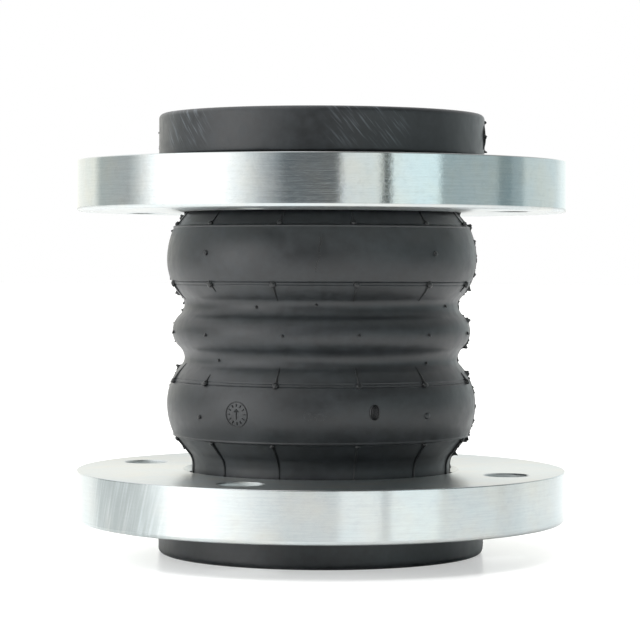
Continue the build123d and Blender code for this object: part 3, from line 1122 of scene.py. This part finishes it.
# What stands round the studio near eye level, as (degrees from the camera towards the
# right, brightness, warm or cool). The polished rims mirror it as upright bands.
ROOM = (
    (-180, 1.22, "#fffff8"), (-150, 1.22, "#fffff8"), (-131, 1.2, "#fdfff8"),
    (-124, 0.66, "#f4fdfb"), (-100, 0.62, "#fafdfc"), (-94, 0.90, "#fbfdfb"),
    (-80, 2.0, "#ffffff"), (-63, 3.2, "#ffffff"), (-46, 1.9, "#ffffff"), (-37, 1.4, "#fdffff"),
    (-27, 0.76, "#f6fafc"), (-16, 0.23, "#e6eef4"), (7.5, 0.22, "#eaf1f5"),
    (9.5, 1.12, "#f8fdfe"), (27, 1.15, "#f8fffd"), (27.5, 0.12, "#e6fbfc"),
    (31, 0.14, "#e6fbfc"), (31.5, 1.32, "#f0fdff"), (46, 1.38, "#e9fcff"),
    (55, 1.36, "#e9fcff"), (55.7, 0.60, "#e6fcff"), (72, 0.64, "#e9fcff"),
    (87, 0.66, "#e9fcff"), (90, 0.42, "#e0faff"), (97, 0.43, "#e0faff"),
    (98, 0.56, "#e6fbff"), (105, 0.60, "#e6fbff"), (108, 0.92, "#f0feff"),
    (140, 1.0, "#f2feff"), (150, 1.22, "#f6ffff"), (180, 1.22, "#fffff8"),
)


def build_room(context):
    """The world: white where it is seen, and the studio's walls where it is mirrored."""
    world = bpy.data.worlds.new("studio_room")
    context.scene.world = world
    world.use_nodes = True
    tree = world.node_tree
    tree.nodes.clear()
    way = add(tree, "TexCoord").outputs["Generated"]
    x, y, climb = add(tree, "SeparateXYZ", None, {0: way}).outputs
    forward = add(tree, "Math", {"operation": "MULTIPLY"}, {0: y, 1: -1.0})
    angle = add(tree, "Math", {"operation": "ARCTAN2"}, {0: x, 1: forward})
    share = add(tree, "Math", {"operation": "MULTIPLY_ADD"},
                {0: angle, 1: 1 / (2 * math.pi), 2: 0.5})
    stops = []
    for degrees, level, tint in ROOM:
        colour = [level * c for c in linear(tint)[:3]] + [1.0]
        stops.append((degrees / 360 + 0.5, colour))
    walls = add(tree, "ValToRGB", None, {"Fac": share}, stops)
    # Above the walls the room fades into a ceiling that is dimmer on the right
    ceiling = add(tree, "ValToRGB", None, {"Fac": share}, [
        (0.0, grey(1.0)), (0.25, grey(1.5)), (0.36, grey(1.4)), (0.46, grey(0.6)),
        (0.55, grey(0.22)), (0.72, grey(0.22)), (0.85, grey(0.6)), (1.0, grey(1.0))])
    fade = add(tree, "MapRange", {"interpolation_type": "SMOOTHSTEP"},
               {"Value": climb, "From Min": 0.12, "From Max": 0.45})
    room = add(tree, "Mix", {"data_type": "RGBA"}, {"Factor": fade, 6: walls, 7: ceiling})
    seen = add(tree, "Mix", {"data_type": "RGBA"}, {
        "Factor": add(tree, "LightPath").outputs["Is Camera Ray"], 6: room.outputs[2],
        7: grey(1.0)})
    light = add(tree, "Background", None, {"Color": seen.outputs[2], "Strength": 1.0})
    add(tree, "OutputWorld", None, {"Surface": light})


def build_floor(burnt_out):
    """A plain white table, large enough to run out of sight, which the exposure burns out."""
    half = 12.0 / MM
    corners = [(-half, -half, 0), (half, -half, 0), (half, half, 0), (-half, half, 0)]
    floor = make_mesh("floor", corners, [[0, 1, 2, 3]])
    material, tree = new_material("satin_white_laminate")
    mottle = add(tree, "TexNoise", None,
                 {"Vector": rest_in_mm(tree), "Scale": 0.01, "Detail": 2.0})
    colour = add(tree, "ValToRGB", None, {"Fac": mottle},
                 [(0.3, linear("#f4f5f4")), (0.7, linear("#fafafa"))])
    seen = add(tree, "LightPath").outputs["Is Camera Ray"]
    glow = add(tree, "Math", {"operation": "MULTIPLY"}, {0: seen, 1: burnt_out})
    shader = add(tree, "BsdfPrincipled", None, {
        "Base Color": colour, "Roughness": 0.25, "Emission Color": colour,
        "Emission Strength": glow})
    add(tree, "OutputMaterial", None, {"Surface": shader})
    floor.data.materials.append(material)


class EXPANSIONJOINT_OT_studio(bpy.types.Operator):
    """Builds the floor, the room, the lights and the camera"""

    bl_idname = "expansionjoint.studio"
    bl_label = "Studio"

    def execute(self, context):
        studio = context.scene.joint_studio
        build_floor(studio.table)
        build_room(context)
        middle = (0, 0, OVERALL * MM / 2)
        area_light("left_softbox", (-1.32, -0.72, 0.3), middle, (1.2, 0.8), studio.softbox)
        area_light("overhead_softbox", (-0.2, -0.1, 1.5), middle, (1.6, 1.6), studio.overhead)
        data = bpy.data.cameras.new("camera")
        data.sensor_width = 36.0
        data.lens = studio.lens
        data.clip_start = 0.01
        camera = bpy.data.objects.new("camera", data)
        context.scene.collection.objects.link(camera)
        level = Matrix.Rotation(math.radians(90) - studio.pitch, 4, "X")
        turn = Matrix.Rotation(studio.roll, 4, "Z")
        place = Matrix.Translation((-0.0005, -studio.distance, studio.height))
        camera.matrix_world = place @ level @ turn
        context.scene.camera = camera
        context.scene.view_settings.view_transform = "Standard"
        return {"FINISHED"}


class EXPANSIONJOINT_PT_panel(bpy.types.Panel):
    """Lists the joint's pieces in the sidebar"""

    bl_label = "Expansion joint"
    bl_idname = "EXPANSIONJOINT_PT_panel"
    bl_space_type = "VIEW_3D"
    bl_region_type = "UI"
    bl_category = "Expansion joint"

    def draw(self, context):
        for step in STEPS:
            self.layout.operator(step.bl_idname)
        for name in ("joint_rubber", "joint_flange", "joint_studio"):
            group = getattr(context.scene, name)
            for key in group.__annotations__:
                self.layout.prop(group, key)


STEPS = (
    EXPANSIONJOINT_OT_cover,
    EXPANSIONJOINT_OT_marks,
    EXPANSIONJOINT_OT_plies,
    EXPANSIONJOINT_OT_liner,
    EXPANSIONJOINT_OT_flanges,
    EXPANSIONJOINT_OT_inserts,
    EXPANSIONJOINT_OT_studio,
)
GROUPS = {
    "joint_rubber": RubberSettings,
    "joint_flange": FlangeSettings,
    "joint_studio": StudioSettings,
}


def register():
    """Registers the settings, the operators and the panel."""
    for name, group in GROUPS.items():
        bpy.utils.register_class(group)
        setattr(bpy.types.Scene, name, bpy.props.PointerProperty(type=group))
    for made in (*STEPS, EXPANSIONJOINT_PT_panel):
        bpy.utils.register_class(made)


def unregister():
    """Takes the settings, the operators and the panel away again."""
    for made in (EXPANSIONJOINT_PT_panel, *STEPS):
        bpy.utils.unregister_class(made)
    for name, group in GROUPS.items():
        delattr(bpy.types.Scene, name)
        bpy.utils.unregister_class(group)


def main():
    """Builds every piece in order."""
    register()
    for step in STEPS:
        group, name = step.bl_idname.split(".")
        getattr(getattr(bpy.ops, group), name)()


if __name__ == "__main__":
    main()
